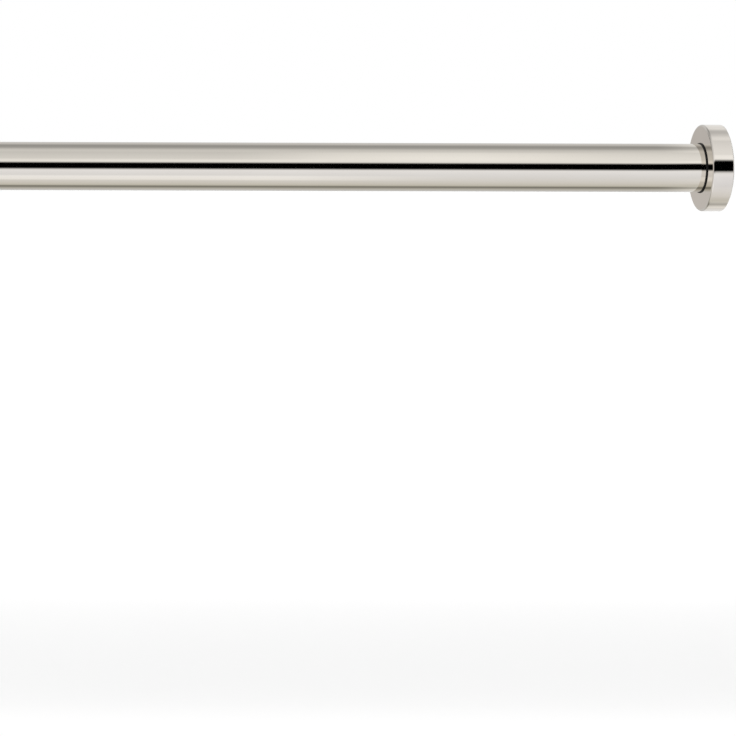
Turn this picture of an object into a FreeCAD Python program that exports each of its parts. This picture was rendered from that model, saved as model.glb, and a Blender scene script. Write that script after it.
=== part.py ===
import FreeCAD, Part
import math
import os
import re

import Sketcher

# A spring tension rod: a fixed tube and a sliding tube with a round flange at each end.
# X runs along the rod and out into the wall on the right, Z is up.
# The origin is the middle of the right wall pad, where it presses on the wall.

# Driving dimensions in millimetres, and one in degrees
SIZES = {
    # the rod as it hangs between two walls
    "rest_length": 762,
    # fixed tube
    "outer_radius": 12.7,
    "outer_wall": 0.7,
    "outer_length": 580,
    # sliding tube
    "inner_radius": 11.1,
    "inner_wall": 0.7,
    "inner_length": 480,
    # flange cover at each end
    "flange_radius": 22.8,
    "flange_depth": 10.5,
    "flange_wall": 1.2,
    "flange_plate": 1.5,
    "flange_edge": 0.7,
    "rim_edge": 0.3,
    # plug between tube, flange and wall pad
    "plug_disc": 2.5,
    "spigot_length": 24,
    "spigot_wall": 2.2,
    "spigot_slot": 2.4,
    "slot_floor": 9,
    "socket_wall": 1.6,
    "liner_wall": 0.4,
    "liner_reveal": 0.5,
    "lead_in": 1,
    # rubber wall pad
    "pad_thickness": 3.2,
    "pad_proud": 0.8,
    "pad_edge": 0.5,
    "pad_land": 9,
    "pad_groove": 3.5,
    "pad_groove_depth": 0.8,
    "stem_radius": 3,
    "barb_grip": 0.7,
    "barb_length": 3.5,
    # trim collar on the mouth of the fixed tube
    "collar_length": 16,
    "collar_wall": 1.3,
    "collar_lip": 2.2,
    "collar_edge": 0.5,
    # guide bush in the open end of the sliding tube
    "bush_length": 22,
    "journal_length": 8,
    "journal_wall": 1.9,
    "bush_head": 2.5,
    "ring_slit": 0.8,
    "bush_pin_radius": 1.2,
    "bush_pin_depth": 6,
    # spring and what it pushes on
    "spring_length": 130,
    "spring_radius": 8.2,
    "spring_wire": 1.8,
    "spring_coils": 9,
    "washer_thickness": 1,
    "anchor_washer_hole": 4,
    "anchor_length": 16,
    "anchor_hollow": 5,
    "anchor_pin_radius": 1.5,
    "pin_recess": 0.2,
    # plunger
    "rod_flats": 6,
    "rod_tail": 12,
    "head_length": 8,
    "head_pin_radius": 1,
    "bumper_thickness": 2,
    "bumper_wall": 3,
    # spring travel
    "stroke": 35,
    "stroke_spare": 1.5,
    # eccentric lock
    "core_flange_radius": 9.6,
    "core_flange": 3,
    "cam_radius": 6.5,
    "cam_offset": 1.2,
    "shoe_length": 18,
    "shoe_ribs": 12,
    "shoe_groove": 0.8,
    "core_pin_radius": 1,
    "retaining_washer_radius": 8.6,
    "rod_socket": 14,
    "screw_radius": 2,
    "screw_length": 8,
    "screw_head_radius": 3.8,
    "screw_head": 2.4,
    "screw_slot": 1,
    # clearances
    "fit_gap": 0.05,
    "running_gap": 0.08,
    "sliding_gap": 0.3,
    "stop_gap": 0.3,
}

# Places and radii that follow from the sizes. Depth is measured from a wall pad's face into the rod.
PLACES = {
    "front_depth": "pad_proud + flange_depth",
    "plate_depth": "front_depth - flange_plate",
    "liner_depth": "front_depth + liner_reveal",
    "butt_depth": "pad_thickness + plug_disc",
    "cover_bore": "flange_radius - flange_wall",
    "plug_radius": "cover_bore - fit_gap",
    "pad_radius": "cover_bore - stop_gap",
    "outer_bore": "outer_radius - outer_wall",
    "inner_bore": "inner_radius - inner_wall",
    "mouth_x": "0 - butt_depth - outer_length",
    "inner_start": "butt_depth - rest_length",
    "inner_end": "inner_start + inner_length",
    "bush_start": "inner_end - bush_length",
    "journal_radius": "inner_radius - journal_wall",
    "bush_end": "inner_end + journal_length + bush_head",
    "bush_pin_x": "inner_end - bush_length / 2",
    "bumper_x": "bush_start - stop_gap - bumper_thickness",
    "head_x": "bumper_x - head_length",
    "plunger_washer_x": "head_x - washer_thickness",
    "spring_x": "plunger_washer_x - spring_length",
    "anchor_washer_x": "spring_x - washer_thickness",
    "anchor_x": "anchor_washer_x - anchor_length",
    "anchor_pin_x": "anchor_x + anchor_length / 2",
    "rod_start": "plunger_washer_x - rod_tail",
    "core_x": "bush_end + stroke + stroke_spare",
    "cam_x": "core_x + core_flange",
    "cam_end": "cam_x + shoe_length + 2 * fit_gap",
    "core_pin_x": "core_x + core_flange / 2",
    "head_pin_x": "head_x + head_length / 2",
    "rod_end": "core_x + rod_socket",
    "shoe_radius": "outer_bore - sliding_gap",
    "rod_corner": "rod_flats / sqrt(3)",
}

WORD = re.compile(r"[a-z][a-z_]*")
DOCUMENT = FreeCAD.newDocument("TensionRod")


def make_sheet():
    """Write each driving dimension into its own cell, under its own name."""
    sheet = DOCUMENT.addObject("Spreadsheet::Sheet", "Sizes")
    for row, (name, value) in enumerate(SIZES.items(), start=1):
        sheet.set(f"A{row}", name)
        sheet.set(f"B{row}", str(value))
        sheet.setAlias(f"B{row}", name)
    DOCUMENT.recompute()
    return sheet


SHEET = make_sheet()


def spelled(formula):
    """The formula with each name turned into a cell of the sheet or into the formula of its place."""

    def one_name(found):
        name = found.group(0)
        if name in PLACES:
            return "(" + spelled(PLACES[name]) + ")"
        if name in SIZES:
            return "Sizes." + name
        return name

    return WORD.sub(one_name, formula)


def value(formula):
    """What the formula gives with the sizes that the sheet holds now."""
    return float(SHEET.evalExpression(spelled(formula)))


def bind(item, property_name, formula):
    """Tie a property to the sheet."""
    item.setExpression(property_name, spelled(formula))


def new_body(label, x="0", turned=False):
    """An empty body at its place along the rod, turned end for end if asked."""
    body = DOCUMENT.addObject("PartDesign::Body", label)
    body.Label = label
    if turned:
        body.Placement.Rotation = FreeCAD.Rotation(FreeCAD.Vector(0, 0, 1), 180)
    bind(body, "Placement.Base.x", x)
    return body


def new_sketch(body, plane, offset=None):
    """A sketch on one of the body's own origin planes, moved off it if asked."""
    sketch = body.newObject("Sketcher::SketchObject", body.Label + "_sketch")
    feature = next(f for f in body.Origin.OriginFeatures if f.Role == plane)
    sketch.AttachmentSupport = [(feature, "")]
    sketch.MapMode = "FlatFace"
    if offset:
        bind(sketch, "AttachmentOffset.Base.z", offset)
    return sketch


def tie_point(sketch, line, end, across, up):
    """Hold one end of a line at its two coordinates."""
    for kind, formula in (("DistanceX", across), ("DistanceY", up)):
        number = sketch.addConstraint(Sketcher.Constraint(kind, -1, 1, line, end, value(formula)))
        bind(sketch, f"Constraints[{number}]", formula)


def draw_outline(sketch, points):
    """A closed outline through points that are pairs of formulas."""
    corners = [FreeCAD.Vector(value(across), value(up), 0) for across, up in points]
    for i, corner in enumerate(corners):
        sketch.addGeometry(Part.LineSegment(corner, corners[(i + 1) % len(corners)]), False)
    for i in range(len(corners)):
        sketch.addConstraint(Sketcher.Constraint("Coincident", i, 2, (i + 1) % len(corners), 1))
    for i, (across, up) in enumerate(points):
        tie_point(sketch, i, 1, across, up)


def draw_circle(sketch, across, up, radius):
    """A circle held by its centre and its radius."""
    centre = FreeCAD.Vector(value(across), value(up), 0)
    circle = sketch.addGeometry(Part.Circle(centre, FreeCAD.Vector(0, 0, 1), value(radius)), False)
    number = sketch.addConstraint(Sketcher.Constraint("Radius", circle, value(radius)))
    bind(sketch, f"Constraints[{number}]", radius)
    tie_point(sketch, circle, 3, across, up)


def turn(body, points):
    """Turn an outline of (along, radius) formulas about the rod's axis."""
    sketch = new_sketch(body, "XZ_Plane")
    draw_outline(sketch, points)
    feature = body.newObject("PartDesign::Revolution", body.Label + "_turned")
    feature.Profile = sketch
    feature.ReferenceAxis = (sketch, ["H_Axis"])
    feature.Angle = 360
    return feature


def cross_hole(body, along, radius):
    """Drill a hole through the whole body, square to the rod."""
    sketch = new_sketch(body, "XZ_Plane")
    draw_circle(sketch, along, "0", radius)
    return cut_through(body, sketch)


def cut_through(body, sketch):
    """Cut a sketch through the body both ways."""
    pocket = body.newObject("PartDesign::Pocket", body.Label + "_cut")
    pocket.Profile = sketch
    pocket.Type = "ThroughAll"
    pocket.Midplane = True
    return pocket


def hexagon(flats):
    """The corners of a hexagon with two corners on the up axis, from its width across flats."""
    side = f"({flats}) / 2"
    high = f"({flats}) / sqrt(3)"
    low = f"({flats}) / sqrt(12)"
    return [
        ("0", high),
        (side, low),
        (side, f"0 - {low}"),
        ("0", f"0 - {high}"),
        (f"0 - {side}", f"0 - {low}"),
        (f"0 - {side}", low),
    ]


def hex_hole(body, flats):
    """Broach a hexagon hole along the rod's axis."""
    sketch = new_sketch(body, "YZ_Plane")
    draw_outline(sketch, hexagon(flats))
    return cut_through(body, sketch)


def repeat_round(body, feature, count):
    """Repeat a feature around the rod's axis."""
    pattern = body.newObject("PartDesign::PolarPattern", body.Label + "_around")
    pattern.Originals = [feature]
    axis = next(f for f in body.Origin.OriginFeatures if f.Role == "X_Axis")
    pattern.Axis = (axis, [""])
    pattern.Angle = 360
    bind(pattern, "Occurrences", count)
    body.Tip = pattern
    return pattern


def make_tube(label, radius, wall, length, x):
    """A drawn tube."""
    body = new_body(label, x)
    bore = f"{radius} - {wall}"
    turn(body, [("0", bore), ("0", radius), (length, radius), (length, bore)])
    return body


def make_outer_tube():
    """The fixed tube, from its mouth to the plug."""
    return make_tube("outer_tube", "outer_radius", "outer_wall", "outer_length", "mouth_x")


def make_inner_tube():
    """The sliding tube, drilled for the pins of the spring anchor and the guide bush."""
    body = make_tube("inner_tube", "inner_radius", "inner_wall", "inner_length", "inner_start")
    cross_hole(body, "anchor_pin_x - inner_start", "anchor_pin_radius + fit_gap")
    cross_hole(body, "bush_pin_x - inner_start", "bush_pin_radius + fit_gap")
    return body


def make_flange(label, tube_radius, x, turned):
    """A cup-shaped cover that hides the plug, with a hole in its flat front for the tube and the plug's liner."""
    body = new_body(label, x, turned)
    hole = f"{tube_radius} + liner_wall + 2 * fit_gap"
    turn(body, [
        ("pad_proud", "cover_bore"),
        ("pad_proud", "flange_radius"),
        ("front_depth", "flange_radius"),
        ("front_depth", hole),
        ("plate_depth", hole),
        ("plate_depth", "cover_bore"),
    ])
    DOCUMENT.recompute()
    soften_edge(body, "front_depth", "flange_radius", "flange_edge")
    DOCUMENT.recompute()
    soften_edge(body, "pad_proud", "flange_radius", "rim_edge")
    return body


def soften_edge(body, along, radius, size):
    """Take the corner off the circular edge at this place along the rod with this radius."""
    base = body.Tip
    names = [
        f"Edge{number}"
        for number, edge in enumerate(base.Shape.Edges, start=1)
        if isinstance(edge.Curve, Part.Circle)
        and abs(edge.Curve.Radius - value(radius)) < 1e-6
        and abs(edge.Curve.Center.x - value(along)) < 1e-6
    ]
    chamfer = body.newObject("PartDesign::Chamfer", body.Label + "_edge")
    chamfer.Base = (base, names)
    bind(chamfer, "Size", size)
    return chamfer


def make_plug(label, tube_radius, tube_wall, x, turned):
    """A moulded plug: a disc, a slotted spigot, and a socket with a thin liner that shows around the tube."""
    body = new_body(label, x, turned)
    socket = f"{tube_radius} + fit_gap"
    spigot = f"{tube_radius} - {tube_wall} - fit_gap"
    hollow = f"{spigot} - spigot_wall"
    hole = "stem_radius + fit_gap"
    tip = "butt_depth + spigot_length"
    turn(body, [
        ("pad_thickness", hole),
        ("pad_thickness", "plug_radius"),
        ("butt_depth", "plug_radius"),
        ("butt_depth", f"{socket} + socket_wall"),
        ("plate_depth", f"{socket} + socket_wall"),
        ("plate_depth", f"{socket} + liner_wall"),
        ("liner_depth", f"{socket} + liner_wall"),
        ("liner_depth", socket),
        ("butt_depth", socket),
        ("butt_depth", spigot),
        (f"{tip} - lead_in", spigot),
        (tip, f"{spigot} - lead_in"),
        (tip, hollow),
        ("butt_depth", hollow),
        ("butt_depth", hole),
    ])
    for plane in ("XZ_Plane", "XY_Plane"):
        sketch = new_sketch(body, plane)
        draw_outline(sketch, [
            ("butt_depth + slot_floor", "0 - spigot_slot / 2"),
            (f"{tip} + lead_in", "0 - spigot_slot / 2"),
            (f"{tip} + lead_in", "spigot_slot / 2"),
            ("butt_depth + slot_floor", "spigot_slot / 2"),
        ])
        cut_through(body, sketch)
    return body


def make_wall_pad(label, x, turned):
    """A rubber pad with a flat middle, one grip groove, and a barbed stem behind."""
    body = new_body(label, x, turned)
    barb = "stem_radius + barb_grip"
    turn(body, [
        ("0", "0"),
        ("0", "pad_land"),
        ("pad_groove_depth", "pad_land"),
        ("pad_groove_depth", "pad_land + pad_groove"),
        ("0", "pad_land + pad_groove"),
        ("0", "pad_radius - pad_edge"),
        ("pad_edge", "pad_radius"),
        ("pad_thickness", "pad_radius"),
        ("pad_thickness", "stem_radius"),
        ("butt_depth", "stem_radius"),
        ("butt_depth", barb),
        ("butt_depth + barb_length", "stem_radius - barb_grip"),
        ("butt_depth + barb_length", "0"),
    ])
    return body


def make_mouth_collar():
    """The collar that trims the mouth of the fixed tube and centres the sliding one."""
    body = new_body("mouth_collar", "mouth_x - collar_lip")
    over = "outer_radius + fit_gap"
    outside = f"{over} + collar_wall"
    turn(body, [
        ("0", "inner_radius + sliding_gap"),
        ("0", f"{outside} - collar_edge"),
        ("collar_edge", outside),
        ("collar_length", outside),
        ("collar_length", over),
        ("collar_lip", over),
        ("collar_lip", "inner_radius + sliding_gap"),
    ])
    return body


def make_glide_ring():
    """The split nylon ring that slides in the fixed tube while the bush turns in it."""
    body = new_body("glide_ring", "inner_end + running_gap")
    length = "journal_length - 2 * running_gap"
    inside = "journal_radius + running_gap"
    outside = "outer_bore - running_gap"
    turn(body, [("0", inside), ("0", outside), (length, outside), (length, inside)])
    slit = new_sketch(body, "XY_Plane")
    draw_outline(slit, [
        ("0 - fit_gap", "0 - ring_slit / 2"),
        (f"{length} + fit_gap", "0 - ring_slit / 2"),
        (f"{length} + fit_gap", "ring_slit / 2"),
        ("0 - fit_gap", "ring_slit / 2"),
    ])
    cut = body.newObject("PartDesign::Pocket", "glide_ring_slit")
    cut.Profile = slit
    cut.Type = "ThroughAll"
    return body


def make_guide_bush():
    """The bush that guides the plunger rod, with a journal for the glide ring and a head to keep it."""
    body = new_body("guide_bush", "bush_start")
    spigot = "inner_bore - fit_gap"
    turn(body, [
        ("0", "0"),
        ("0", f"{spigot} - lead_in"),
        ("lead_in", spigot),
        ("bush_length", spigot),
        ("bush_length", "journal_radius"),
        ("bush_length + journal_length", "journal_radius"),
        ("bush_length + journal_length", "inner_radius"),
        ("bush_length + journal_length + bush_head", "inner_radius"),
        ("bush_length + journal_length + bush_head", "0"),
    ])
    hex_hole(body, "rod_flats + 2 * running_gap")
    cross_hole(body, "bush_length / 2", "bush_pin_radius + fit_gap")
    return body


def make_bush_pins():
    """Two short pins, one on each side, that hold the bush in the tube."""
    pins = DOCUMENT.addObject("Part::Compound", "bush_pins")
    pins.Label = "bush_pins"
    for side in (1, -1):
        pin = DOCUMENT.addObject("Part::Cylinder", "bush_pin")
        bind(pin, "Radius", "bush_pin_radius")
        bind(pin, "Height", "bush_pin_depth")
        pin.Placement.Rotation = FreeCAD.Rotation(FreeCAD.Vector(1, 0, 0), -90 * side)
        bind(pin, "Placement.Base.x", "bush_pin_x")
        bind(pin, "Placement.Base.y", f"{side} * (inner_radius - pin_recess - bush_pin_depth)")
        pins.Links = pins.Links + [pin]
    return pins


def make_cross_pin(label, x, radius, reach):
    """A pin square to the rod, as long as twice its reach."""
    body = new_body(label, x)
    sketch = new_sketch(body, "XZ_Plane")
    draw_circle(sketch, "0", "0", radius)
    pad = body.newObject("PartDesign::Pad", label + "_length")
    pad.Profile = sketch
    pad.Midplane = True
    bind(pad, "Length", f"2 * ({reach})")
    return body


def make_spring_anchor():
    """The fixed seat of the spring, hollowed from behind and cross-drilled for its pin."""
    body = new_body("spring_anchor", "anchor_x")
    outside = "inner_bore - fit_gap"
    turn(body, [
        ("0", "anchor_hollow"),
        ("0", f"{outside} - lead_in"),
        ("lead_in", outside),
        ("anchor_length", outside),
        ("anchor_length", "0"),
        ("anchor_length / 4", "0"),
        ("anchor_length / 4", "anchor_hollow"),
    ])
    cross_hole(body, "anchor_length / 2", "anchor_pin_radius + fit_gap")
    return body


def make_washer(label, x, inside, outside):
    """A flat washer."""
    body = new_body(label, x)
    turn(body, [
        ("0", inside), ("0", outside), ("washer_thickness", outside), ("washer_thickness", inside),
    ])
    return body


def rise_rates(count, rise):
    """How far each half coil rises: two stay closed at each end, one opens half as far as the rest."""
    closed = value("spring_wire + fit_gap") / 2
    from_end = [min(i, count - 1 - i) for i in range(count)]
    weights = [min(1, max(0, halves - 1) / 2) for halves in from_end]
    open_rise = (rise - closed * count) / sum(weights)
    return [closed + open_rise * weight for weight in weights]


def half_coil(start, end, wire_radius):
    """Half a turn of wire, a piece of a leaning ring from one point on to the opposite one."""
    section = Part.Face(Part.Wire([Part.Circle(start, FreeCAD.Vector(0, 1, 0), wire_radius).toShape()]))
    lean = (end - start).cross(FreeCAD.Vector(0, 1, 0))
    onward = lean if lean.x > 0 else -lean
    return section.revolve((start + end) / 2, onward, 180)


def make_main_spring():
    """The compression spring, with closed ends ground flat."""
    length = value("spring_length")
    wire_radius = value("spring_wire") / 2
    radius = value("spring_radius")
    count = int(round(2 * value("spring_coils")))
    rises = rise_rates(count, length)
    along = 0.0
    halves = []
    for i, rise in enumerate(rises):
        up = 1 if i % 2 == 0 else -1
        start = FreeCAD.Vector(along, 0, up * radius)
        end = FreeCAD.Vector(along + rise, 0, -up * radius)
        halves.append(half_coil(start, end, wire_radius))
        along += rise
    coil = halves[0].fuse(halves[1:])
    envelope = Part.makeCylinder(radius + 2 * wire_radius, length, FreeCAD.Vector(0, 0, 0),
                                 FreeCAD.Vector(1, 0, 0))
    spring = DOCUMENT.addObject("Part::Feature", "main_spring")
    spring.Label = "main_spring"
    spring.Shape = coil.common(envelope)
    bind(spring, "Placement.Base.x", "spring_x")
    return spring


def make_plunger_rod():
    """The hexagon rod that joins the spring to the lock, drilled for its two pins."""
    body = new_body("plunger_rod", "rod_start")
    sketch = new_sketch(body, "YZ_Plane")
    draw_outline(sketch, hexagon("rod_flats"))
    pad = body.newObject("PartDesign::Pad", "plunger_rod_length")
    pad.Profile = sketch
    bind(pad, "Length", "rod_end - rod_start")
    cross_hole(body, "head_pin_x - rod_start", "head_pin_radius + fit_gap")
    cross_hole(body, "core_pin_x - rod_start", "core_pin_radius + fit_gap")
    return body


def make_plunger_head():
    """The piston that the spring pushes, pinned on the rod."""
    body = new_body("plunger_head", "head_x")
    outside = "inner_bore - sliding_gap"
    turn(body, [
        ("0", "0"),
        ("0", outside),
        ("head_length - lead_in", outside),
        ("head_length", f"{outside} - lead_in"),
        ("head_length", "0"),
    ])
    hex_hole(body, "rod_flats + 2 * fit_gap")
    cross_hole(body, "head_length / 2", "head_pin_radius + fit_gap")
    return body


def make_bumper():
    """The rubber ring that softens the plunger's stop on the bush."""
    body = new_body("stop_bumper", "bumper_x")
    inside = "rod_corner + fit_gap"
    outside = f"{inside} + bumper_wall"
    turn(body, [
        ("0", inside), ("0", outside), ("bumper_thickness", outside), ("bumper_thickness", inside),
    ])
    return body


def make_lock_core():
    """The lock's core: a flange, and a journal that stands off the rod's axis."""
    body = new_body("lock_core", "core_x")
    turn(body, [
        ("0", "0"), ("0", "core_flange_radius"), ("core_flange", "core_flange_radius"), ("core_flange", "0"),
    ])
    sketch = new_sketch(body, "YZ_Plane", "core_flange")
    draw_circle(sketch, "0", "cam_offset", "cam_radius")
    pad = body.newObject("PartDesign::Pad", "lock_core_journal")
    pad.Profile = sketch
    bind(pad, "Length", "cam_end - cam_x")
    return finish_lock_core(body)


def finish_lock_core(body):
    """The hexagon socket, the pin hole and the screw hole of the lock's core."""
    socket = new_sketch(body, "YZ_Plane")
    draw_outline(socket, hexagon("rod_flats + 2 * fit_gap"))
    pocket = body.newObject("PartDesign::Pocket", "lock_core_socket")
    pocket.Profile = socket
    pocket.Reversed = True
    bind(pocket, "Length", "rod_socket + fit_gap")
    screw_hole = new_sketch(body, "YZ_Plane", "cam_end - core_x")
    draw_circle(screw_hole, "0", "cam_offset", "screw_radius")
    drilled = body.newObject("PartDesign::Pocket", "lock_core_screw_hole")
    drilled.Profile = screw_hole
    bind(drilled, "Length", "screw_length - washer_thickness")
    cross_hole(body, "core_flange / 2", "core_pin_radius + fit_gap")
    return body


def make_lock_shoe():
    """The eccentric nylon ring that wedges in the fixed tube when the core is turned in it."""
    body = new_body("lock_shoe", "cam_x + fit_gap")
    sketch = new_sketch(body, "YZ_Plane")
    draw_circle(sketch, "0", "0", "shoe_radius")
    draw_circle(sketch, "0", "cam_offset", "cam_radius + running_gap")
    pad = body.newObject("PartDesign::Pad", "lock_shoe_ring")
    pad.Profile = sketch
    bind(pad, "Length", "shoe_length")
    groove = new_sketch(body, "YZ_Plane")
    draw_circle(groove, "0", "shoe_radius", "shoe_groove")
    cut = cut_through(body, groove)
    repeat_round(body, cut, "shoe_ribs")
    return body


def make_retaining_washer():
    """The washer that keeps the shoe on the core."""
    body = new_body("retaining_washer", "cam_end")
    sketch = new_sketch(body, "YZ_Plane")
    draw_circle(sketch, "0", "cam_offset", "retaining_washer_radius")
    draw_circle(sketch, "0", "cam_offset", "screw_radius + fit_gap")
    pad = body.newObject("PartDesign::Pad", "retaining_washer_thickness")
    pad.Profile = sketch
    bind(pad, "Length", "washer_thickness")
    return body


def make_retaining_screw():
    """A slotted screw with a cone-sided head, its thread left plain."""
    body = new_body("retaining_screw", "cam_end + washer_thickness")
    bind(body, "Placement.Base.z", "cam_offset")
    turn(body, [
        ("0 - screw_length + fit_gap", "0"),
        ("0 - screw_length + fit_gap", "screw_radius - fit_gap"),
        ("0", "screw_radius - fit_gap"),
        ("0", "screw_head_radius"),
        ("screw_head / 2", "screw_head_radius"),
        ("screw_head", "screw_head_radius - screw_head / 2"),
        ("screw_head", "0"),
    ])
    slot = new_sketch(body, "YZ_Plane", "screw_head")
    wide = "screw_head_radius + fit_gap"
    draw_outline(slot, [
        (f"0 - ({wide})", "0 - screw_slot / 2"),
        (wide, "0 - screw_slot / 2"),
        (wide, "screw_slot / 2"),
        (f"0 - ({wide})", "screw_slot / 2"),
    ])
    cut = body.newObject("PartDesign::Pocket", "retaining_screw_slot")
    cut.Profile = slot
    bind(cut, "Length", "screw_head / 2")
    return body


def make_end_set(name, tube_radius, tube_wall, x, turned):
    """The flange cover, plug and wall pad of one end."""
    return [
        make_flange(name + "_flange", tube_radius, x, turned),
        make_plug(name + "_end_plug", tube_radius, tube_wall, x, turned),
        make_wall_pad(name + "_wall_pad", x, turned),
    ]


def make_rod():
    """Every sub-part, from the right wall to the left."""
    parts = make_end_set("outer", "outer_radius", "outer_wall", "0", True)
    parts += make_end_set("inner", "inner_radius", "inner_wall", "0 - rest_length", False)
    parts += [make_outer_tube(), make_mouth_collar(), make_glide_ring()]
    parts += [make_inner_tube(), make_guide_bush(), make_bush_pins(), make_spring_anchor()]
    parts.append(make_cross_pin("anchor_pin", "anchor_pin_x", "anchor_pin_radius", "inner_radius - pin_recess"))
    parts.append(make_washer("anchor_washer", "anchor_washer_x", "anchor_washer_hole", "inner_bore - sliding_gap"))
    parts.append(make_main_spring())
    parts += [make_plunger_rod(), make_plunger_head(), make_bumper()]
    parts.append(make_cross_pin("head_pin", "head_pin_x", "head_pin_radius", "inner_bore - sliding_gap - fit_gap"))
    parts.append(make_washer("plunger_washer", "plunger_washer_x", "rod_corner + fit_gap",
                             "inner_bore - sliding_gap"))
    parts.append(make_lock_core())
    parts.append(make_cross_pin("core_pin", "core_pin_x", "core_pin_radius", "core_flange_radius - sliding_gap"))
    parts += [make_lock_shoe(), make_retaining_washer(), make_retaining_screw()]
    return parts


def check(parts):
    """Stop if anything in the document failed, or if a sub-part isn't a sound solid."""
    for item in DOCUMENT.Objects:
        if "Invalid" in item.State or "Error" in item.State:
            raise RuntimeError(f"{item.Name} failed: {item.State}")
    for part in parts:
        if part.Shape.isNull() or not part.Shape.isValid() or not part.Shape.Solids:
            raise RuntimeError(f"{part.Label} isn't a sound solid")


def write(parts):
    """Write each sub-part to its own file."""
    os.makedirs("parts", exist_ok=True)
    for part in parts:
        part.Shape.exportStep(f"parts/{part.Label}.step")
        box = part.Shape.BoundBox
        print(f"{part.Label:18} {len(part.Shape.Solids)} x {box.XMin:8.2f} {box.XMax:8.2f} "
              f"r {box.ZMax:6.2f} volume {part.Shape.Volume:9.1f}")


PARTS = make_rod()
DOCUMENT.recompute()
check(PARTS)
write(PARTS)
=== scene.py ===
# %% [markdown]
# # A spring tension rod, polished nickel
# The rod is a fixed tube with a thinner tube sliding in it, and a round flange at each end that hides a
# plug and a rubber wall pad. Inside the sliding tube a long spring keeps the rod pressed between two walls.
# This script loads the exact model as a fixed frame and dresses it. The bright outer pieces, the wall pads
# and the spring are made again in finer detail, and every piece gets a finish. All lengths are in metres,
# with X along the rod and Z up.

import math

import bmesh
import bpy
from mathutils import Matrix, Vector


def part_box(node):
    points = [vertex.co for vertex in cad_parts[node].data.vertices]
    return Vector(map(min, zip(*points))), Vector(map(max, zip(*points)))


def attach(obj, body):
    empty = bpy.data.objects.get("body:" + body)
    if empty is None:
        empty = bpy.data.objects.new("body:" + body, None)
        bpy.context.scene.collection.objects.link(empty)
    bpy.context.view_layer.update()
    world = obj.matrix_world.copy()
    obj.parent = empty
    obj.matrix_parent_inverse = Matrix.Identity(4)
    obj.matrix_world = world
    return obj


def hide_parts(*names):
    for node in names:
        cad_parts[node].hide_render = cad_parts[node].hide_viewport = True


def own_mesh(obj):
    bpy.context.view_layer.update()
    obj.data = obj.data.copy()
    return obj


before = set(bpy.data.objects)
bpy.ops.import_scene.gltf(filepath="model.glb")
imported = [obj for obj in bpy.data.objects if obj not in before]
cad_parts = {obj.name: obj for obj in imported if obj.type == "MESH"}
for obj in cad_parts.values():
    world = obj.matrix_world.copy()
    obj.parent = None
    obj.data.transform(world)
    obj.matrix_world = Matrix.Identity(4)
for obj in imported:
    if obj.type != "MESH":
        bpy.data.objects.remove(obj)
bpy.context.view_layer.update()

# %% [markdown]
# ## Camera
# The rod is seen level, from in front and a little to the left of its right end. The camera could look up
# or down to place the rod in the picture, but then the flange would lean. So it stays level, at the rod's
# height, and its lens is shifted instead, which puts the rod in the upper quarter of a square picture.

# %% Camera
CAMERA_PLACE = (-0.1862, -0.5830, -0.0021)
CAMERA_LENS = 54.1
CAMERA_ROLL = -0.17
CAMERA_SHIFT = -0.2677

camera_data = bpy.data.cameras.new("photo_camera")
camera_data.lens = CAMERA_LENS
camera_data.shift_y = CAMERA_SHIFT
camera = bpy.data.objects.new("photo_camera", camera_data)
bpy.context.scene.collection.objects.link(camera)
camera.location = CAMERA_PLACE
camera.rotation_euler = (math.radians(90), math.radians(CAMERA_ROLL), 0)
bpy.context.scene.camera = camera
bpy.context.scene.view_settings.view_transform = "Standard"
print("camera at", CAMERA_PLACE)

# %% [markdown]
# ## Studio
# Polished metal has almost no look of its own: it shows the room. A product studio is a pale tent with a
# few dark gaps. It could be built from cards and lamps around the rod, but their places are hard to set to
# a degree. So the tent is painted on the world as levels around the rod's axis, from straight behind, under
# the rod, to the front and over it. The black card in front gives the tube its dark line, and the darker
# gaps under and over the rod give it edges against white.

# %% Node helpers
def add_node(tree, kind, **settings):
    """A new node, with its own settings."""
    node = tree.nodes.new("ShaderNode" + kind)
    for name, value in settings.items():
        setattr(node, name, value)
    return node


def arithmetic(tree, operation, first, second=0.0):
    """A Math node over two sockets or numbers."""
    node = add_node(tree, "Math", operation=operation)
    for slot, value in zip(node.inputs, (first, second)):
        if isinstance(value, bpy.types.NodeSocket):
            tree.links.new(value, slot)
        else:
            slot.default_value = value
    return node.outputs[0]


def ramp(tree, source, stops):
    """A colour ramp over (place from 0 to 1, grey level or colour) stops."""
    node = add_node(tree, "ValToRGB")
    tree.links.new(source, node.inputs[0])
    points = node.color_ramp.elements
    while len(points) < len(stops):
        points.new(1.0)
    for point, (place, colour) in zip(points, stops):
        point.position = place
        point.color = (*colour, 1) if isinstance(colour, tuple) else (colour, colour, colour, 1)
    return node.outputs[0]


# %% Studio levels
HALF_TURN, FULL_TURN = 180.0, 360.0
# Degrees around the rod's axis, 0 straight towards the front and 90 straight up, with the brightness there
STUDIO = [
    # behind the rod and under it
    (-180, (0.590, 0.565, 0.545)), (-168, 0.62), (-146, 0.62), (-129, (0.52, 0.51, 0.48)),
    (-113, (0.24, 0.235, 0.21)), (-109, (0.22, 0.215, 0.19)), (-98, (0.64, 0.63, 0.58)),
    # up towards the front
    (-82, (0.74, 0.73, 0.71)), (-65, (0.80, 0.80, 0.81)), (-45, (0.85, 0.86, 0.90)),
    (-24, (0.92, 0.93, 0.98)), (-17, (0.96, 0.97, 1.01)),
    # the black card in front
    (-8, 0.0), (15, 0.0),
    # from the front over the rod
    (23, 0.97), (29, 0.95), (37, 0.91), (45, 0.90), (70, 0.81), (88, 0.66), (100, 0.43), (111, 0.36),
    # above and behind it
    (118, 0.36), (136, 0.62), (146, 0.67), (168, 0.63), (180, (0.535, 0.512, 0.495)),
]

world = bpy.data.worlds.new("pale_studio")
bpy.context.scene.world = world
world.use_nodes = True
sky = world.node_tree
sky.nodes.clear()

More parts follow.
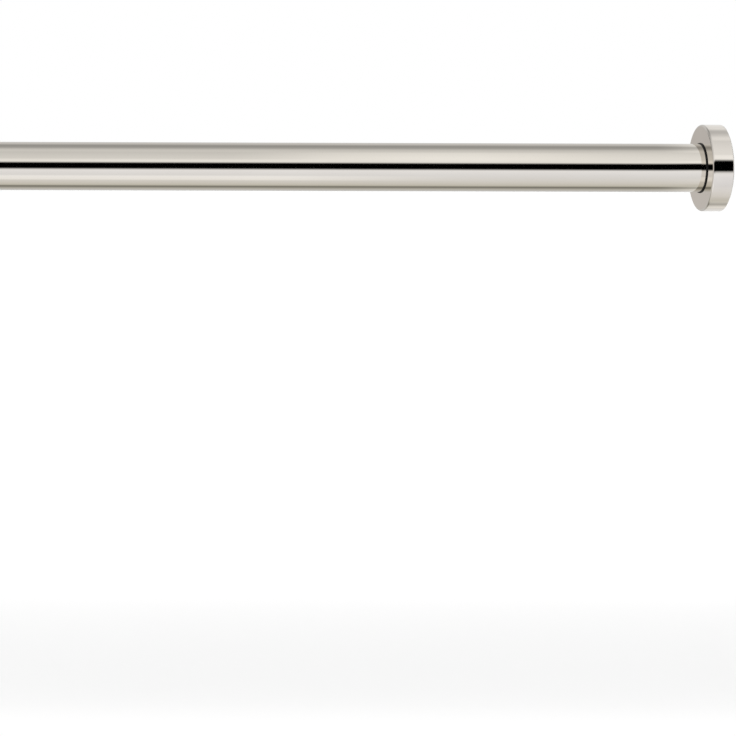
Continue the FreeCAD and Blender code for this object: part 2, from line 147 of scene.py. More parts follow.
direction = add_node(sky, "SeparateXYZ")
sky.links.new(add_node(sky, "TexCoord").outputs["Generated"], direction.inputs[0])
towards_front = arithmetic(sky, "MULTIPLY", direction.outputs["Y"], -1.0)
around = arithmetic(sky, "ARCTAN2", direction.outputs["Z"], towards_front)
degrees = arithmetic(sky, "MULTIPLY", around, HALF_TURN / math.pi)
turn_share = arithmetic(sky, "DIVIDE", arithmetic(sky, "ADD", degrees, HALF_TURN), FULL_TURN)
studio_level = ramp(sky, turn_share, [((angle + HALF_TURN) / FULL_TURN, level) for angle, level in STUDIO])
print("studio:", len(STUDIO), "levels around the rod")

# %% [markdown]
# ### Soft cards
# A real tent is not the same from left to right. Soft cards change it a little, each within a few degrees
# around the rod and within a part of its length. Most of those on the right side are there for the
# flange's rim, which mirrors another part of the tent than the tube does. The two dark ones above and
# behind give the rod a line when it is seen from behind. Painted cards are summed with the levels, and the
# sum is kept from going below black.

# %% Soft card helpers
def soft_step(tree, value, start, end):
    """Rises smoothly from 0 at start to 1 at end, or falls where end is the lower one."""
    step = add_node(tree, "MapRange", interpolation_type="SMOOTHSTEP")
    tree.links.new(value, step.inputs["Value"])
    low_end, high_end = (0, 1) if start < end else (1, 0)
    step.inputs["From Min"].default_value = min(start, end)
    step.inputs["From Max"].default_value = max(start, end)
    step.inputs["To Min"].default_value = low_end
    step.inputs["To Max"].default_value = high_end
    return step.outputs[0]


def between(tree, value, low, high, soft):
    """1 between low and high, and 0 a soft edge further out."""
    rise = soft_step(tree, value, low - soft, low)
    return arithmetic(tree, "MULTIPLY", rise, soft_step(tree, value, high + soft, high))


def lit_card(tree, angle, card):
    """The gain that one card adds at each direction."""
    across, along, gain = card
    share_across = between(tree, angle, *across)
    share_along = between(tree, direction.outputs["X"], *along)
    return arithmetic(tree, "MULTIPLY", arithmetic(tree, "MULTIPLY", share_across, share_along), gain)


# %% Soft cards
# Degrees from and to, place along the rod from and to, softness of each, and the gain in brightness.
# The place is the direction's own X, from -1 at the left end to 1 at the right end.
RIGHT_SIDE = (0.300, 1.0, 0.05)
CARDS = [
    ((42, 68, 14), (-1.0, -0.14, 0.20), -0.13),
    ((38, 66, 12), (-0.02, 0.13, 0.12), 0.09),
    ((-62, -50, 11), (-1.0, -0.12, 0.24), 0.19),
    ((84, 97, 12), RIGHT_SIDE, 0.21),
    ((26, 32, 4), RIGHT_SIDE, 0.10),
    ((17, 20, 3), RIGHT_SIDE, -0.24),
    ((-14, -10, 3), RIGHT_SIDE, 0.24),
    ((-78, -58, 10), RIGHT_SIDE, 0.04),
    ((-109, -103, 6), RIGHT_SIDE, 0.10),
    ((149, 168, 9), (0.40, 1.0, 0.05), -0.78),
    ((156, 168, 7), (-1.0, -0.60, 0.12), -0.6),
]
# These two lie behind the rod, alike above and below it
BACK_CARDS = [((112, 200, 18), RIGHT_SIDE, 0.24), ((122, 130, 8), RIGHT_SIDE, 0.14)]

above_or_below = arithmetic(sky, "ABSOLUTE", degrees)
gains = [lit_card(sky, degrees, card) for card in CARDS]
gains += [lit_card(sky, above_or_below, card) for card in BACK_CARDS]
card_light = gains[0]
for gain in gains[1:]:
    card_light = arithmetic(sky, "ADD", card_light, gain)
summed = add_node(sky, "VectorMath", operation="ADD")
sky.links.new(studio_level, summed.inputs[0])
sky.links.new(card_light, summed.inputs[1])
with_cards = add_node(sky, "VectorMath", operation="MAXIMUM")
sky.links.new(summed.outputs[0], with_cards.inputs[0])
print("studio:", len(gains), "soft cards")

# %% [markdown]
# ### The two ends of the tent
# Towards the rod's two ends all the levels run together into a point, which would show as a star in the
# flanges' faces. So the pattern fades to one tone before it gets there.

# %% Ends of the tent
END_COLOUR = (0.63, 0.61, 0.60)
END_START, END_FULL = 0.74, 0.94

endways = soft_step(sky, arithmetic(sky, "ABSOLUTE", direction.outputs["X"]), END_START, END_FULL)
studio = add_node(sky, "MixRGB")
sky.links.new(endways, studio.inputs["Fac"])
sky.links.new(with_cards.outputs[0], studio.inputs["Color1"])
studio.inputs["Color2"].default_value = (*END_COLOUR, 1)
print("the tent fades from", END_START, "to", END_FULL, "of the way to each end")

# %% [markdown]
# ### What each kind of ray sees
# The eye sees a white backdrop, and metal sees the tent. Matt surfaces get one even soft light, so that
# their colours come out as written. One world can be all three, because a Light Path node tells them apart.

# %% What each kind of ray sees
SOFT_LEVEL = 0.55
BACKDROP_LEVEL = 1.0


def even_light(strength):
    """White light of one strength from everywhere."""
    light = add_node(sky, "Background")
    light.inputs["Color"].default_value = (1, 1, 1, 1)
    light.inputs["Strength"].default_value = strength
    return light


def one_of_two(choice, first, second):
    """Mixes two lights: the first where choice is 0 and the second where it is 1."""
    mix = add_node(sky, "MixShader")
    sky.links.new(choice, mix.inputs[0])
    sky.links.new(first.outputs[0], mix.inputs[1])
    sky.links.new(second.outputs[0], mix.inputs[2])
    return mix


rays = add_node(sky, "LightPath")
seen_in_metal = add_node(sky, "Background")
sky.links.new(studio.outputs[0], seen_in_metal.inputs["Color"])
mirrored = arithmetic(sky, "MAXIMUM", rays.outputs["Is Glossy Ray"], rays.outputs["Is Transmission Ray"])
on_surfaces = one_of_two(mirrored, even_light(SOFT_LEVEL), seen_in_metal)
everything = one_of_two(rays.outputs["Is Camera Ray"], on_surfaces, even_light(BACKDROP_LEVEL))
sky.links.new(everything.outputs[0], add_node(sky, "OutputWorld").inputs["Surface"])
print("backdrop at", BACKDROP_LEVEL, "and soft light at", SOFT_LEVEL)

# %% [markdown]
# ## Lamp
# One large soft lamp above and to the left of the camera shapes the matt plastic and rubber. An area lamp
# would fall off along a rod this long, so it is a sun with a wide angle. The metal doesn't see it, because
# a round spot in the tube would spoil its even bands.

# %% Lamp
LAMP_FROM = (-0.45, -0.8, 1.0)
LAMP_STRENGTH = 1.9
LAMP_SPREAD = 18.0

lamp_data = bpy.data.lights.new("soft_lamp", "SUN")
lamp_data.energy = LAMP_STRENGTH
lamp_data.angle = math.radians(LAMP_SPREAD)
lamp = bpy.data.objects.new("soft_lamp", lamp_data)
bpy.context.scene.collection.objects.link(lamp)
lamp.location = LAMP_FROM
lamp.rotation_euler = lamp.location.to_track_quat("Z", "Y").to_euler()
lamp.visible_glossy = False
print("lamp shines from", LAMP_FROM)

# %% [markdown]
# ## Floor
# The floor is pale paper, far enough below the rod to keep its shadow soft. More light would make it white,
# but would wash out the rod too. So a little light of its own, for the eye alone, takes it up to the white
# of the backdrop.

# %% Floor
FLOOR_Z = -0.40
FLOOR_SIDE = 60.0
FLOOR_COLOUR = (0.93, 0.93, 0.93)
FLOOR_LIFT = 0.09

bpy.ops.object.select_all(action="DESELECT")
bpy.ops.mesh.primitive_plane_add(size=FLOOR_SIDE, location=(0, 0, FLOOR_Z))
floor = bpy.context.active_object
floor.name = "studio_floor"
floor.visible_glossy = False
paper = bpy.data.materials.new("white_paper")
paper.use_nodes = True
paper_shader = paper.node_tree.nodes["Principled BSDF"]
paper_shader.inputs["Base Color"].default_value = (*FLOOR_COLOUR, 1)
paper_shader.inputs["Roughness"].default_value = 1.0
paper_shader.inputs["Specular IOR Level"].default_value = 0.0
paper_shader.inputs["Emission Color"].default_value = (1, 1, 1, 1)
seen_by_eye = add_node(paper.node_tree, "LightPath").outputs["Is Camera Ray"]
paper_lift = arithmetic(paper.node_tree, "MULTIPLY", seen_by_eye, FLOOR_LIFT)
paper.node_tree.links.new(paper_lift, paper_shader.inputs["Emission Strength"])
floor.data.materials.append(paper)
print("floor at z =", FLOOR_Z)

# %% [markdown]
# ## Finishes
# A finish starts from one colour and one roughness on the shader. Noise then does what a real process does:
# it makes the colour a little uneven, the shine a little patchy, and the surface not quite flat. Pictures
# of real surfaces could do this too, but noise has no seams and is set in real sizes. It is read from
# Object coordinates, in metres, and can be stretched to become the fine lines that drawing or turning
# leaves.

# %% Finish helpers
# Noise hardly ever leaves this range
NOISE_LOW, NOISE_HIGH = 0.3, 0.7


def shader_of(finish):
    """The shader that all of a finish's values are on."""
    return finish.node_tree.nodes["Principled BSDF"]


def new_finish(name, colour, roughness, metallic=0.0):
    """A material with its main values on the shader."""
    finish = bpy.data.materials.new(name)
    finish.use_nodes = True
    shader = shader_of(finish)
    shader.inputs["Base Color"].default_value = (*colour, 1)
    shader.inputs["Metallic"].default_value = metallic
    shader.inputs["Roughness"].default_value = roughness
    return finish


def object_place(finish, stretch):
    """Object coordinates, scaled along each axis."""
    tree = finish.node_tree
    mapping = add_node(tree, "Mapping")
    tree.links.new(add_node(tree, "TexCoord").outputs["Object"], mapping.inputs["Vector"])
    mapping.inputs["Scale"].default_value = stretch
    return mapping.outputs[0]


def turned_place(finish, stretch):
    """Coordinates along the rod, out from its axis and around it, for marks that a lathe leaves."""
    tree = finish.node_tree
    apart = add_node(tree, "SeparateXYZ")
    tree.links.new(add_node(tree, "TexCoord").outputs["Object"], apart.inputs[0])
    y_squared = arithmetic(tree, "MULTIPLY", apart.outputs["Y"], apart.outputs["Y"])
    z_squared = arithmetic(tree, "MULTIPLY", apart.outputs["Z"], apart.outputs["Z"])
    out = arithmetic(tree, "SQRT", arithmetic(tree, "ADD", y_squared, z_squared))
    round_axis = arithmetic(tree, "ARCTAN2", apart.outputs["Z"], apart.outputs["Y"])
    together = add_node(tree, "CombineXYZ")
    for share, source, slot in zip(stretch, (apart.outputs["X"], out, round_axis), together.inputs):
        tree.links.new(arithmetic(tree, "MULTIPLY", source, share), slot)
    return together.outputs[0]


def noise(finish, scale, detail=3.0, stretch=(1, 1, 1), place=object_place):
    """Noise with about one bump every 1 / scale metres."""
    tree = finish.node_tree
    node = add_node(tree, "TexNoise")
    tree.links.new(place(finish, stretch), node.inputs["Vector"])
    node.inputs["Scale"].default_value = scale
    node.inputs["Detail"].default_value = detail
    return node.outputs["Fac"]


def uneven_colour(finish, source, dark, light):
    """Lets the colour wander between two tones."""
    colour = ramp(finish.node_tree, source, [(NOISE_LOW, dark), (NOISE_HIGH, light)])
    finish.node_tree.links.new(colour, shader_of(finish).inputs["Base Color"])


def fine_marks(finish, source, shine, height):
    """Lets the roughness wander between two values, and raises the surface by a height in metres."""
    tree = finish.node_tree
    shader = shader_of(finish)
    spread = add_node(tree, "MapRange")
    tree.links.new(source, spread.inputs["Value"])
    spread.inputs["From Min"].default_value = NOISE_LOW
    spread.inputs["From Max"].default_value = NOISE_HIGH
    spread.inputs["To Min"].default_value, spread.inputs["To Max"].default_value = shine
    tree.links.new(spread.outputs[0], shader.inputs["Roughness"])
    bump = add_node(tree, "Bump")
    bump.inputs["Distance"].default_value = height
    tree.links.new(source, bump.inputs["Height"])
    tree.links.new(bump.outputs[0], shader.inputs["Normal"])


# %% [markdown]
# ### Polished nickel
# The tubes are drawn steel, buffed lengthwise and plated with nickel, which is warmer than chrome. The
# flanges and the collar are pressed and polished on a spindle, so their faint lines run around the axis.
# Both are nearly mirrors, so the relief is under a thousandth of a millimetre and only softens the edges
# of what they show. One finish for both would be simpler, but its lines would run the wrong way on one.

# %% Polished nickel
DRAWN_DARK, DRAWN_LIGHT = (0.785, 0.742, 0.670), (0.812, 0.772, 0.702)
TURNED_DARK, TURNED_LIGHT = (0.780, 0.736, 0.676), (0.806, 0.764, 0.704)

tube_nickel = new_finish("polished_nickel_tube", DRAWN_LIGHT, roughness=0.055, metallic=1.0)
uneven_colour(tube_nickel, noise(tube_nickel, 60, stretch=(0.25, 1, 1)), DRAWN_DARK, DRAWN_LIGHT)
buffing = noise(tube_nickel, 900, detail=4, stretch=(0.03, 1, 1))
fine_marks(tube_nickel, buffing, shine=(0.045, 0.065), height=2.0e-7)

turned_nickel = new_finish("polished_nickel_turned", TURNED_LIGHT, roughness=0.045, metallic=1.0)
uneven_colour(turned_nickel, noise(turned_nickel, 45), TURNED_DARK, TURNED_LIGHT)
spindle = noise(turned_nickel, 1500, detail=4, stretch=(1, 1, 0.0004), place=turned_place)
fine_marks(turned_nickel, spindle, shine=(0.03, 0.06), height=2.0e-7)
print("nickel: along the tubes and around the turned pieces")

# %% [markdown]
# ### Plastics and rubber
# Moulded nylon is slightly milky, which a little subsurface light gives, and takes the fine spark texture
# of its mould. The black plugs are the same nylon with carbon black, and show a thin sheen. The wall pads
# are pale rubber: very matt, stippled so that they grip, and a little darker where hands and dust have
# reached.

# %% Plastics and rubber
white_nylon = new_finish("natural_nylon", (0.86, 0.86, 0.83), roughness=0.42)
shader_of(white_nylon).inputs["Subsurface Weight"].default_value = 0.12
shader_of(white_nylon).inputs["Subsurface Radius"].default_value = (0.0012, 0.0011, 0.0009)
uneven_colour(white_nylon, noise(white_nylon, 220), dark=(0.83, 0.83, 0.79), light=(0.88, 0.88, 0.86))
spark = noise(white_nylon, 2600, detail=2)
fine_marks(white_nylon, spark, shine=(0.36, 0.50), height=1.5e-5)

black_nylon = new_finish("black_nylon", (0.008, 0.008, 0.008), roughness=0.42)
shader_of(black_nylon).inputs["Specular IOR Level"].default_value = 0.14
uneven_colour(black_nylon, noise(black_nylon, 260), dark=(0.005, 0.005, 0.005), light=(0.012, 0.012, 0.012))
grain = noise(black_nylon, 2200, detail=2)
fine_marks(black_nylon, grain, shine=(0.34, 0.52), height=2e-5)

rubber = new_finish("pale_rubber", (0.75, 0.74, 0.71), roughness=0.86)
shader_of(rubber).inputs["Specular IOR Level"].default_value = 0.32
uneven_colour(rubber, noise(rubber, 140, detail=5), dark=(0.66, 0.65, 0.62), light=(0.78, 0.77, 0.74))
stipple = noise(rubber, 3200, detail=2)
fine_marks(rubber, stipple, shine=(0.78, 0.95), height=1.6e-5)
print("plastics:", white_nylon.name, black_nylon.name, rubber.name)

# %% [markdown]
# ### Steel and cast zinc
# The pins, washers, screw and plunger are bright zinc plated steel, faintly blue and yellow by turns. The
# spring wire is drawn and oiled, darker and streaked. The lock's core is die cast, with a grainy skin from
# tumbling.

# %% Steel and cast zinc
zinc_steel = new_finish("bright_zinc_steel", (0.68, 0.69, 0.70), roughness=0.28, metallic=1.0)
plating = noise(zinc_steel, 420, detail=2)
uneven_colour(zinc_steel, plating, dark=(0.64, 0.67, 0.71), light=(0.72, 0.71, 0.66))
brushing = noise(zinc_steel, 2400, stretch=(0.2, 1, 1))
fine_marks(zinc_steel, brushing, shine=(0.20, 0.38), height=6e-6)

spring_steel = new_finish("oiled_spring_steel", (0.42, 0.42, 0.43), roughness=0.34, metallic=1.0)
oil = noise(spring_steel, 380, detail=4)
uneven_colour(spring_steel, oil, dark=(0.34, 0.34, 0.35), light=(0.48, 0.47, 0.46))
drawing = noise(spring_steel, 3000, stretch=(1, 0.5, 0.5))
fine_marks(spring_steel, drawing, shine=(0.24, 0.44), height=8e-6)

cast_zinc = new_finish("tumbled_cast_zinc", (0.55, 0.56, 0.57), roughness=0.46, metallic=1.0)
uneven_colour(cast_zinc, noise(cast_zinc, 520, detail=5), dark=(0.47, 0.48, 0.49), light=(0.60, 0.61, 0.62))
tumbling = noise(cast_zinc, 1700, detail=4)
fine_marks(cast_zinc, tumbling, shine=(0.38, 0.56), height=3e-5)
print("metals:", zinc_steel.name, spring_steel.name, cast_zinc.name)

# %% [markdown]
# ## Finishes on the frame's own pieces
# Every node came in with the name of its finish as its material. Each gets the full finish in that slot.
# The pieces that are made again below hide their node later on.

# %% Dress the frame
FINISHES = {
    "polished_nickel": turned_nickel,
    "white_nylon": white_nylon,
    "black_nylon": black_nylon,
    "wall_rubber": rubber,
    "spring_steel": spring_steel,
    "zinc_steel": zinc_steel,
    "cast_zinc": cast_zinc,
}
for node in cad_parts.values():
    for slot in node.material_slots:
        slot.material = FINISHES[slot.material.name]
print("dressed:", len(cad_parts), "nodes")

# %% [markdown]
# ## Turning a piece
# The tubes, the flanges, the collar and the pads are round, so they are made as on a lathe. Spinning a
# drawn profile would give the same shapes. Here a circle of edges is the first step, which is extruded and
# resized from corner to corner of the piece's outline until it closes on itself. That way every corner is
# a whole loop of edges.

# %% Following an outline
FACETS = 192


def start_circle(name, x, radius):
    """A circle of edges around the rod's axis, in edit mode, all of it selected."""
    bpy.ops.object.select_all(action="DESELECT")
    bpy.ops.mesh.primitive_circle_add(
        vertices=FACETS, radius=radius, location=(x, 0, 0), rotation=(0, math.radians(90), 0))
    piece = bpy.context.active_object
    piece.name = piece.data.name = name
    bpy.ops.object.transform_apply(location=True, rotation=True, scale=True)
    bpy.ops.object.mode_set(mode="EDIT")
    bpy.ops.mesh.select_all(action="SELECT")
    return piece


def follow_outline(outline, closed=True):
    """Extrudes the circle from corner to corner. The outline's first corner is the circle itself."""
    x, radius = outline[0]
    for next_x, next_radius in outline[1:] + (outline[:1] if closed else []):
        bpy.ops.mesh.extrude_region_move(TRANSFORM_OT_translate={"value": (next_x - x, 0, 0)})
        grow = next_radius / radius
        bpy.ops.transform.resize(value=(1, grow, grow), center_override=(0, 0, 0))
        x, radius = next_x, next_radius


# %% [markdown]
# ### Rounding corners
# No real edge is quite sharp, and one that is gives a model away. The corners that the real piece has
# rounded are bevelled, each by its own width. A Bevel modifier would need a weight on each edge, so their
# loops are picked instead, by their place along the rod and their distance from its axis.

# %% Rounding corners
TOUCH = 5e-6
MERGE_WITHIN = 1e-6
ROUND_STEPS = 4


def at_corner(vertex, x, radius):
    """Tells whether a vertex lies on the circle at one corner of the outline."""
    from_axis = math.hypot(vertex.co.y, vertex.co.z)
    return abs(vertex.co.x - x) < TOUCH and abs(from_axis - radius) < TOUCH


def select_loop(piece, x, radius):
    """Selects the loop of edges at one corner of the outline, and counts them."""
    bpy.ops.mesh.select_all(action="DESELECT")
    mesh = bmesh.from_edit_mesh(piece.data)
    loop = [edge for edge in mesh.edges if all(at_corner(vertex, x, radius) for vertex in edge.verts)]
    for edge in loop:
        edge.select_set(True)
    bmesh.update_edit_mesh(piece.data)
    return len(loop)


def join_seams():
    """Merges the last loop into the first and points all faces outwards."""
    bpy.ops.mesh.select_all(action="SELECT")
    bpy.ops.mesh.remove_doubles(threshold=MERGE_WITHIN)
    bpy.ops.mesh.normals_make_consistent(inside=False)


def round_corner(piece, corner, width, steps=ROUND_STEPS):
    """Rounds one corner of the outline all the way around."""
    if select_loop(piece, *corner) != FACETS:
        raise ValueError(f"{piece.name} has no whole loop at {corner}")
    bpy.ops.mesh.bevel(offset=width, segments=steps, profile=0.5, affect="EDGES")


# %% [markdown]
# ### Closing a piece
# A finished piece is smooth where it curves and sharp where it turns a corner. Smooth shading alone would
# make its flat faces look bent next to their round edges, so a Weighted Normal keeps them straight in
# reflection. Then the piece gets its finish, and stands for its node.

# %% Closing a piece
SMOOTH_BELOW = math.radians(40)


def close_piece(piece, finish, body, node):
    """Smooths the piece, gives it its finish, and puts it in the place of its node."""
    join_seams()
    bpy.ops.object.mode_set(mode="OBJECT")
    bpy.ops.object.shade_smooth_by_angle(angle=SMOOTH_BELOW)
    weighted = piece.modifiers.new("straight_faces", "WEIGHTED_NORMAL")
    weighted.keep_sharp = True
    bpy.ops.object.modifier_apply(modifier=weighted.name)
    piece.data.materials.append(finish)
    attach(piece, body)
    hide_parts(node)
    print(piece.name, "faces:", len(piece.data.polygons), "on", body)


def outer_radius(node):
    """Half the width of a round node, from its box."""
    low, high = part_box(node)
    return max(high.y - low.y, high.z - low.z) / 2


# %% [markdown]
# ## The two tubes
# The rod's length is two thin tubes, one inside the other. Each is drawn to size and cut square, and the
# cut is dressed so that it has no burr: a very small round inside and out. A cylinder with a Solidify would
# give the wall too, but the lathe's outline gives both cut edges as loops to round.

# %% Fixed tube
TUBE_WALL = 0.0007
TUBE_EDGE = 0.00015
TUBE_EDGE_STEPS = 3


def turn_tube(name, node):
    """A thin tube with dressed ends, where the node is."""
    low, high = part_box(node)
    radius = outer_radius(node)
    bore = radius - TUBE_WALL
    outline = [(low.x, radius), (high.x, radius), (high.x, bore), (low.x, bore)]
    piece = start_circle(name, *outline[0])
    follow_outline(outline)
    join_seams()
    for corner in outline:
        round_corner(piece, corner, TUBE_EDGE, steps=TUBE_EDGE_STEPS)
    return piece


fixed_tube = turn_tube("fixed_tube", "outer_tube")
close_piece(fixed_tube, tube_nickel, "outer", "outer_tube")

# %% [markdown]
# ### The sliding tube
# The sliding tube also has two cross holes: one for the pins that hold the guide bush in its open end, and
# one for the pin that anchors the spring. Each is drilled straight through both walls in one go. So a plain
# cutter of the drill's size is taken away with a Boolean, which cuts both walls alike.

# %% Sliding tube
BUSH_PIN_X, BUSH_PIN_HOLE = -0.2873, 0.00125
ANCHOR_PIN_X, ANCHOR_PIN_HOLE = -0.4486, 0.00155
DRILL_LENGTH = 0.03
DRILL_FACETS = 48


def drill_through(piece, x, radius):
    """A hole straight through both walls, along Y."""
    bpy.ops.object.mode_set(mode="OBJECT")
    bpy.ops.object.select_all(action="DESELECT")
    bpy.ops.mesh.primitive_cylinder_add(
        vertices=DRILL_FACETS, radius=radius, depth=DRILL_LENGTH, location=(x, 0, 0),
        rotation=(math.radians(90), 0, 0))
    drill = bpy.context.active_object
    bpy.ops.object.transform_apply(location=True, rotation=True, scale=True)
    bpy.context.view_layer.objects.active = piece
    hole = piece.modifiers.new("hole", "BOOLEAN")
    hole.operation = "DIFFERENCE"
    hole.object = drill
    hole.solver = "EXACT"
    bpy.ops.object.modifier_apply(modifier=hole.name)
    bpy.data.objects.remove(drill)
    piece.select_set(True)
    bpy.ops.object.mode_set(mode="EDIT")


sliding_tube = turn_tube("sliding_tube", "inner_tube")
drill_through(sliding_tube, BUSH_PIN_X, BUSH_PIN_HOLE)
drill_through(sliding_tube, ANCHOR_PIN_X, ANCHOR_PIN_HOLE)
close_piece(sliding_tube, tube_nickel, "inner", "inner_tube")

# %% [markdown]
# ## The flanges
# Each flange is a pressed cup: a flat front with a hole for the tube, and a straight rim that stands just
# off the wall. The front edge is rounded over and polished, so it catches a thin bright line between the
# face and the rim. A cylinder could be inset and pushed in from behind, but the outline sets the plate, the
# wall and the hole in one go. The left flange is the same piece the other way round, with a smaller hole.

# %% Flanges
FLANGE_WALL = 0.0012
FLANGE_PLATE = 0.0015
FRONT_EDGE = 0.0010
RIM_EDGE = 0.0004
HOLE_EDGE = 0.0001
RIGHT_HOLE, LEFT_HOLE = 0.0132, 0.0116
FINE_STEPS = 6


def turn_flange(name, node, hole_radius, body, wall_side):
    """A cup whose rim faces the wall, which is towards +X where wall_side is 1 and -X where it is -1."""
    low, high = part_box(node)
    rim_x, front_x = (high.x, low.x) if wall_side > 0 else (low.x, high.x)
    plate_x = front_x + wall_side * FLANGE_PLATE
    radius = outer_radius(node)
    outline = [
        (rim_x, radius), (front_x, radius), (front_x, hole_radius),
        (plate_x, hole_radius), (plate_x, radius - FLANGE_WALL), (rim_x, radius - FLANGE_WALL),
    ]
    widths = (RIM_EDGE, FRONT_EDGE, HOLE_EDGE, HOLE_EDGE, FRONT_EDGE, RIM_EDGE)
    piece = start_circle(name, *outline[0])
    follow_outline(outline)
    join_seams()
    for corner, width in zip(outline, widths):
        round_corner(piece, corner, width, steps=FINE_STEPS)
    close_piece(piece, turned_nickel, body, node)


turn_flange("right_flange", "outer_flange", RIGHT_HOLE, "outer", wall_side=1)
turn_flange("left_flange", "inner_flange", LEFT_HOLE, "inner", wall_side=-1)

# %% [markdown]
# ## The collar
# The mouth of the fixed tube carries a trim collar that hides the cut edge and closes the gap down to the
# sliding tube with a short inward lip. It could be a plain sleeve, but the lip shows from the left end, so
# it is turned with its step.

# %% Collar
COLLAR_WALL = 0.0013
COLLAR_LIP = 0.0022
COLLAR_BORE = 0.0114
COLLAR_EDGE = 0.0005
COLLAR_BACK_EDGE = 0.0003

low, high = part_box("mouth_collar")
collar_radius = outer_radius("mouth_collar")
seat_radius = collar_radius - COLLAR_WALL
back_corner, front_corner, bore_corner = (high.x, collar_radius), (low.x, collar_radius), (low.x, COLLAR_BORE)
collar_outline = [
    back_corner, front_corner, bore_corner,
    (low.x + COLLAR_LIP, COLLAR_BORE), (low.x + COLLAR_LIP, seat_radius), (high.x, seat_radius),
]
collar = start_circle("trim_collar", *back_corner)
follow_outline(collar_outline)
join_seams()
round_corner(collar, back_corner, COLLAR_BACK_EDGE)
round_corner(collar, front_corner, COLLAR_EDGE, steps=FINE_STEPS)
round_corner(collar, bore_corner, COLLAR_BACK_EDGE)
close_piece(collar, turned_nickel, "outer", "mouth_collar")

# %% [markdown]
# ## The wall pads
# A pad is a thick rubber disc with a barbed stem that snaps into the plug. The moulded face presses on the
# wall: a flat land in the middle, a wide groove around it, and fine ribs out to the edge that grip the
# plaster or tile. The ribs could be a bump in the finish, but a bump is flat when it is seen from the
# side. So they are turned with the rest, as what fine grooves leave standing.

# %% Pad sizes
PAD_THICKNESS = 0.0032
PAD_LAND = 0.009
PAD_GROOVE_OUT = 0.0125
PAD_GROOVE_DEPTH = 0.0008
FINE_GROOVES = [0.0140, 0.0156, 0.0172, 0.0188]
FINE_GROOVE_DEPTH = 0.00028
FINE_GROOVE_WIDTH = 0.0008
PAD_EDGE = 0.0005
LAND_EDGE = 0.00025
LAND_EDGE_STEPS = 3
STEM_RADIUS = 0.003
BARB_RADIUS = 0.0037
BARB_TIP_RADIUS = 0.0018
BARB_LENGTH = 0.0035
POLE_RADIUS = 0.0006
print("pads:", PAD_THICKNESS, "thick, with", len(FINE_GROOVES), "fine grooves")


# %% Wall pads
def close_pole(piece, x, radius):
    """Draws the loop at one end of the outline together into one point."""
    select_loop(piece, x, radius)
    bpy.ops.mesh.extrude_region_move()
    bpy.ops.mesh.merge(type="CENTER")


def mould_pad(name, node, body, wall_side):
    """A disc with a ribbed face on a barbed stem. Depth runs from the wall into the rod."""
    low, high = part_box(node)
    face_x = high.x if wall_side > 0 else low.x
    pad_radius = outer_radius(node)
    barb_end = high.x - low.x
    barb_start = barb_end - BARB_LENGTH
    grooves = []
    for middle in FINE_GROOVES:
        grooves += [
            (0, middle - FINE_GROOVE_WIDTH / 2), (FINE_GROOVE_DEPTH, middle - FINE_GROOVE_WIDTH / 4),
            (FINE_GROOVE_DEPTH, middle + FINE_GROOVE_WIDTH / 4), (0, middle + FINE_GROOVE_WIDTH / 2),
        ]
    profile = [
        (0, POLE_RADIUS), (0, PAD_LAND), (PAD_GROOVE_DEPTH, PAD_LAND), (PAD_GROOVE_DEPTH, PAD_GROOVE_OUT),
        (0, PAD_GROOVE_OUT), *grooves, (0, pad_radius), (PAD_THICKNESS, pad_radius),
        (PAD_THICKNESS, STEM_RADIUS), (barb_start, STEM_RADIUS), (barb_start, BARB_RADIUS),
        (barb_end, BARB_TIP_RADIUS), (barb_end, POLE_RADIUS),
    ]
    outline = [(face_x - wall_side * depth, radius) for depth, radius in profile]
    piece = start_circle(name, *outline[0])
    follow_outline(outline, closed=False)
    close_pole(piece, *outline[-1])
    close_pole(piece, *outline[0])
    join_seams()
    for radius in (PAD_LAND, PAD_GROOVE_OUT):
        round_corner(piece, (face_x, radius), LAND_EDGE, steps=LAND_EDGE_STEPS)
    for depth in (0, PAD_THICKNESS):
        round_corner(piece, (face_x - wall_side * depth, pad_radius), PAD_EDGE)
    close_piece(piece, rubber, body, node)


mould_pad("right_wall_pad", "outer_wall_pad", "outer", wall_side=1)
mould_pad("left_wall_pad", "inner_wall_pad", "inner", wall_side=-1)

# %% [markdown]
# ## The spring
# The spring is one steel wire wound on a mandrel. Its end coils are closed and ground flat, so that they
# sit square on the washers. A Screw modifier would wind it in one go, but with one pitch from end to end.
# So its pitch is worked out first, step by step, and the wire is then wound by hand.

# %% Pitch of the spring
COILS = 9
CLOSED_PITCH = 0.0019
# How much of a coil it takes to open from closed to full pitch
OPENS_OVER = 0.5
STEPS_PER_COIL = 36


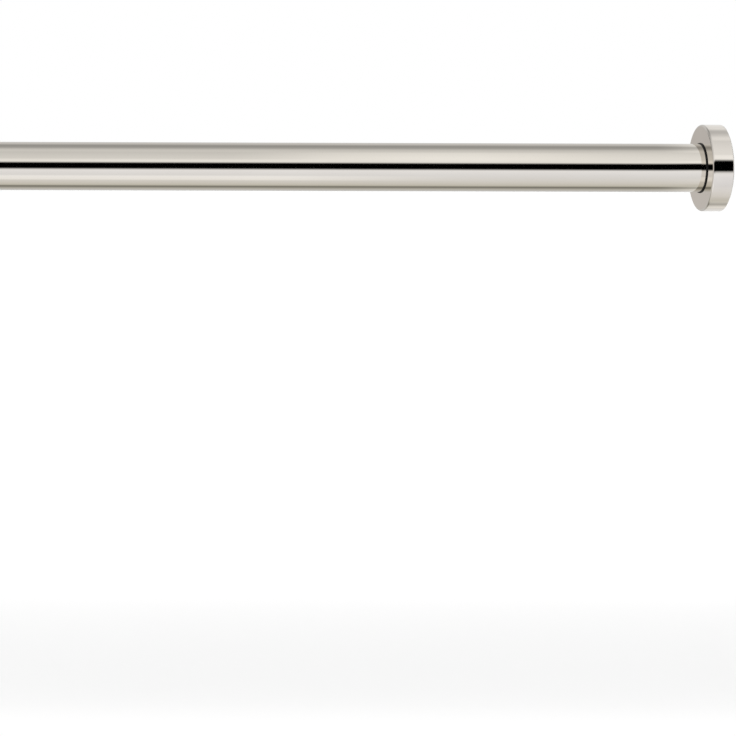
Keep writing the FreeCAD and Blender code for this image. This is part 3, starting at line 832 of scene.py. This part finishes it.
def rises(length):
    """How far each step moves along: little in the first and last coil, the same for all open coils."""
    steps = COILS * STEPS_PER_COIL
    closed_rise = CLOSED_PITCH / STEPS_PER_COIL
    from_end = [min(step + 0.5, steps - step - 0.5) / STEPS_PER_COIL for step in range(steps)]
    openness = [min(1, max(0, (coils - 1) / OPENS_OVER)) for coils in from_end]
    open_rise = (length - closed_rise * steps) / sum(openness)
    return [closed_rise + open_rise * share for share in openness]


print("spring:", COILS, "coils in", COILS * STEPS_PER_COIL, "steps")

# %% [markdown]
# ### Winding and grinding
# A filled circle of the wire's size is extruded round the axis in small steps, each a little further along
# the rod, and a bisect then grinds each end flat. The bisect gets a fine threshold, because its own one is
# as large as a tenth of a millimetre and would pull corners out of place.

# %% Winding and grinding
WIRE_RADIUS = 0.0009
WIRE_FACETS = 16
COIL_RADIUS = 0.0082
GRIND_WITHIN = 1e-7


def wind_spring(name, low_x, high_x):
    """A closed and ground compression spring around the rod's axis, in edit mode."""
    bpy.ops.object.select_all(action="DESELECT")
    bpy.ops.mesh.primitive_circle_add(
        vertices=WIRE_FACETS, radius=WIRE_RADIUS, fill_type="NGON", location=(low_x, 0, COIL_RADIUS),
        rotation=(math.radians(90), 0, 0))
    piece = bpy.context.active_object
    piece.name = piece.data.name = name
    bpy.ops.object.transform_apply(location=True, rotation=True, scale=True)
    bpy.ops.object.mode_set(mode="EDIT")
    bpy.ops.mesh.select_all(action="SELECT")
    step_angle = math.radians(FULL_TURN / STEPS_PER_COIL)
    for rise in rises(high_x - low_x):
        bpy.ops.mesh.extrude_region_move(TRANSFORM_OT_translate={"value": (rise, 0, 0)})
        bpy.ops.transform.rotate(value=step_angle, orient_axis="X", center_override=(0, 0, 0))
    for end_x, ground_off in ((low_x, "clear_inner"), (high_x, "clear_outer")):
        bpy.ops.mesh.select_all(action="SELECT")
        bpy.ops.mesh.bisect(
            plane_co=(end_x, 0, 0), plane_no=(1, 0, 0), threshold=GRIND_WITHIN, use_fill=True,
            **{ground_off: True})
    return piece


low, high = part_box("main_spring")
pressure_spring = wind_spring("pressure_spring", low.x, high.x)
close_piece(pressure_spring, spring_steel, "inner", "main_spring")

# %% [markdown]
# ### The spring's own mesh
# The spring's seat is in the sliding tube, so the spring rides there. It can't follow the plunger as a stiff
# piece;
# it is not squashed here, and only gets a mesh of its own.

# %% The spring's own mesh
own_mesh(pressure_spring)
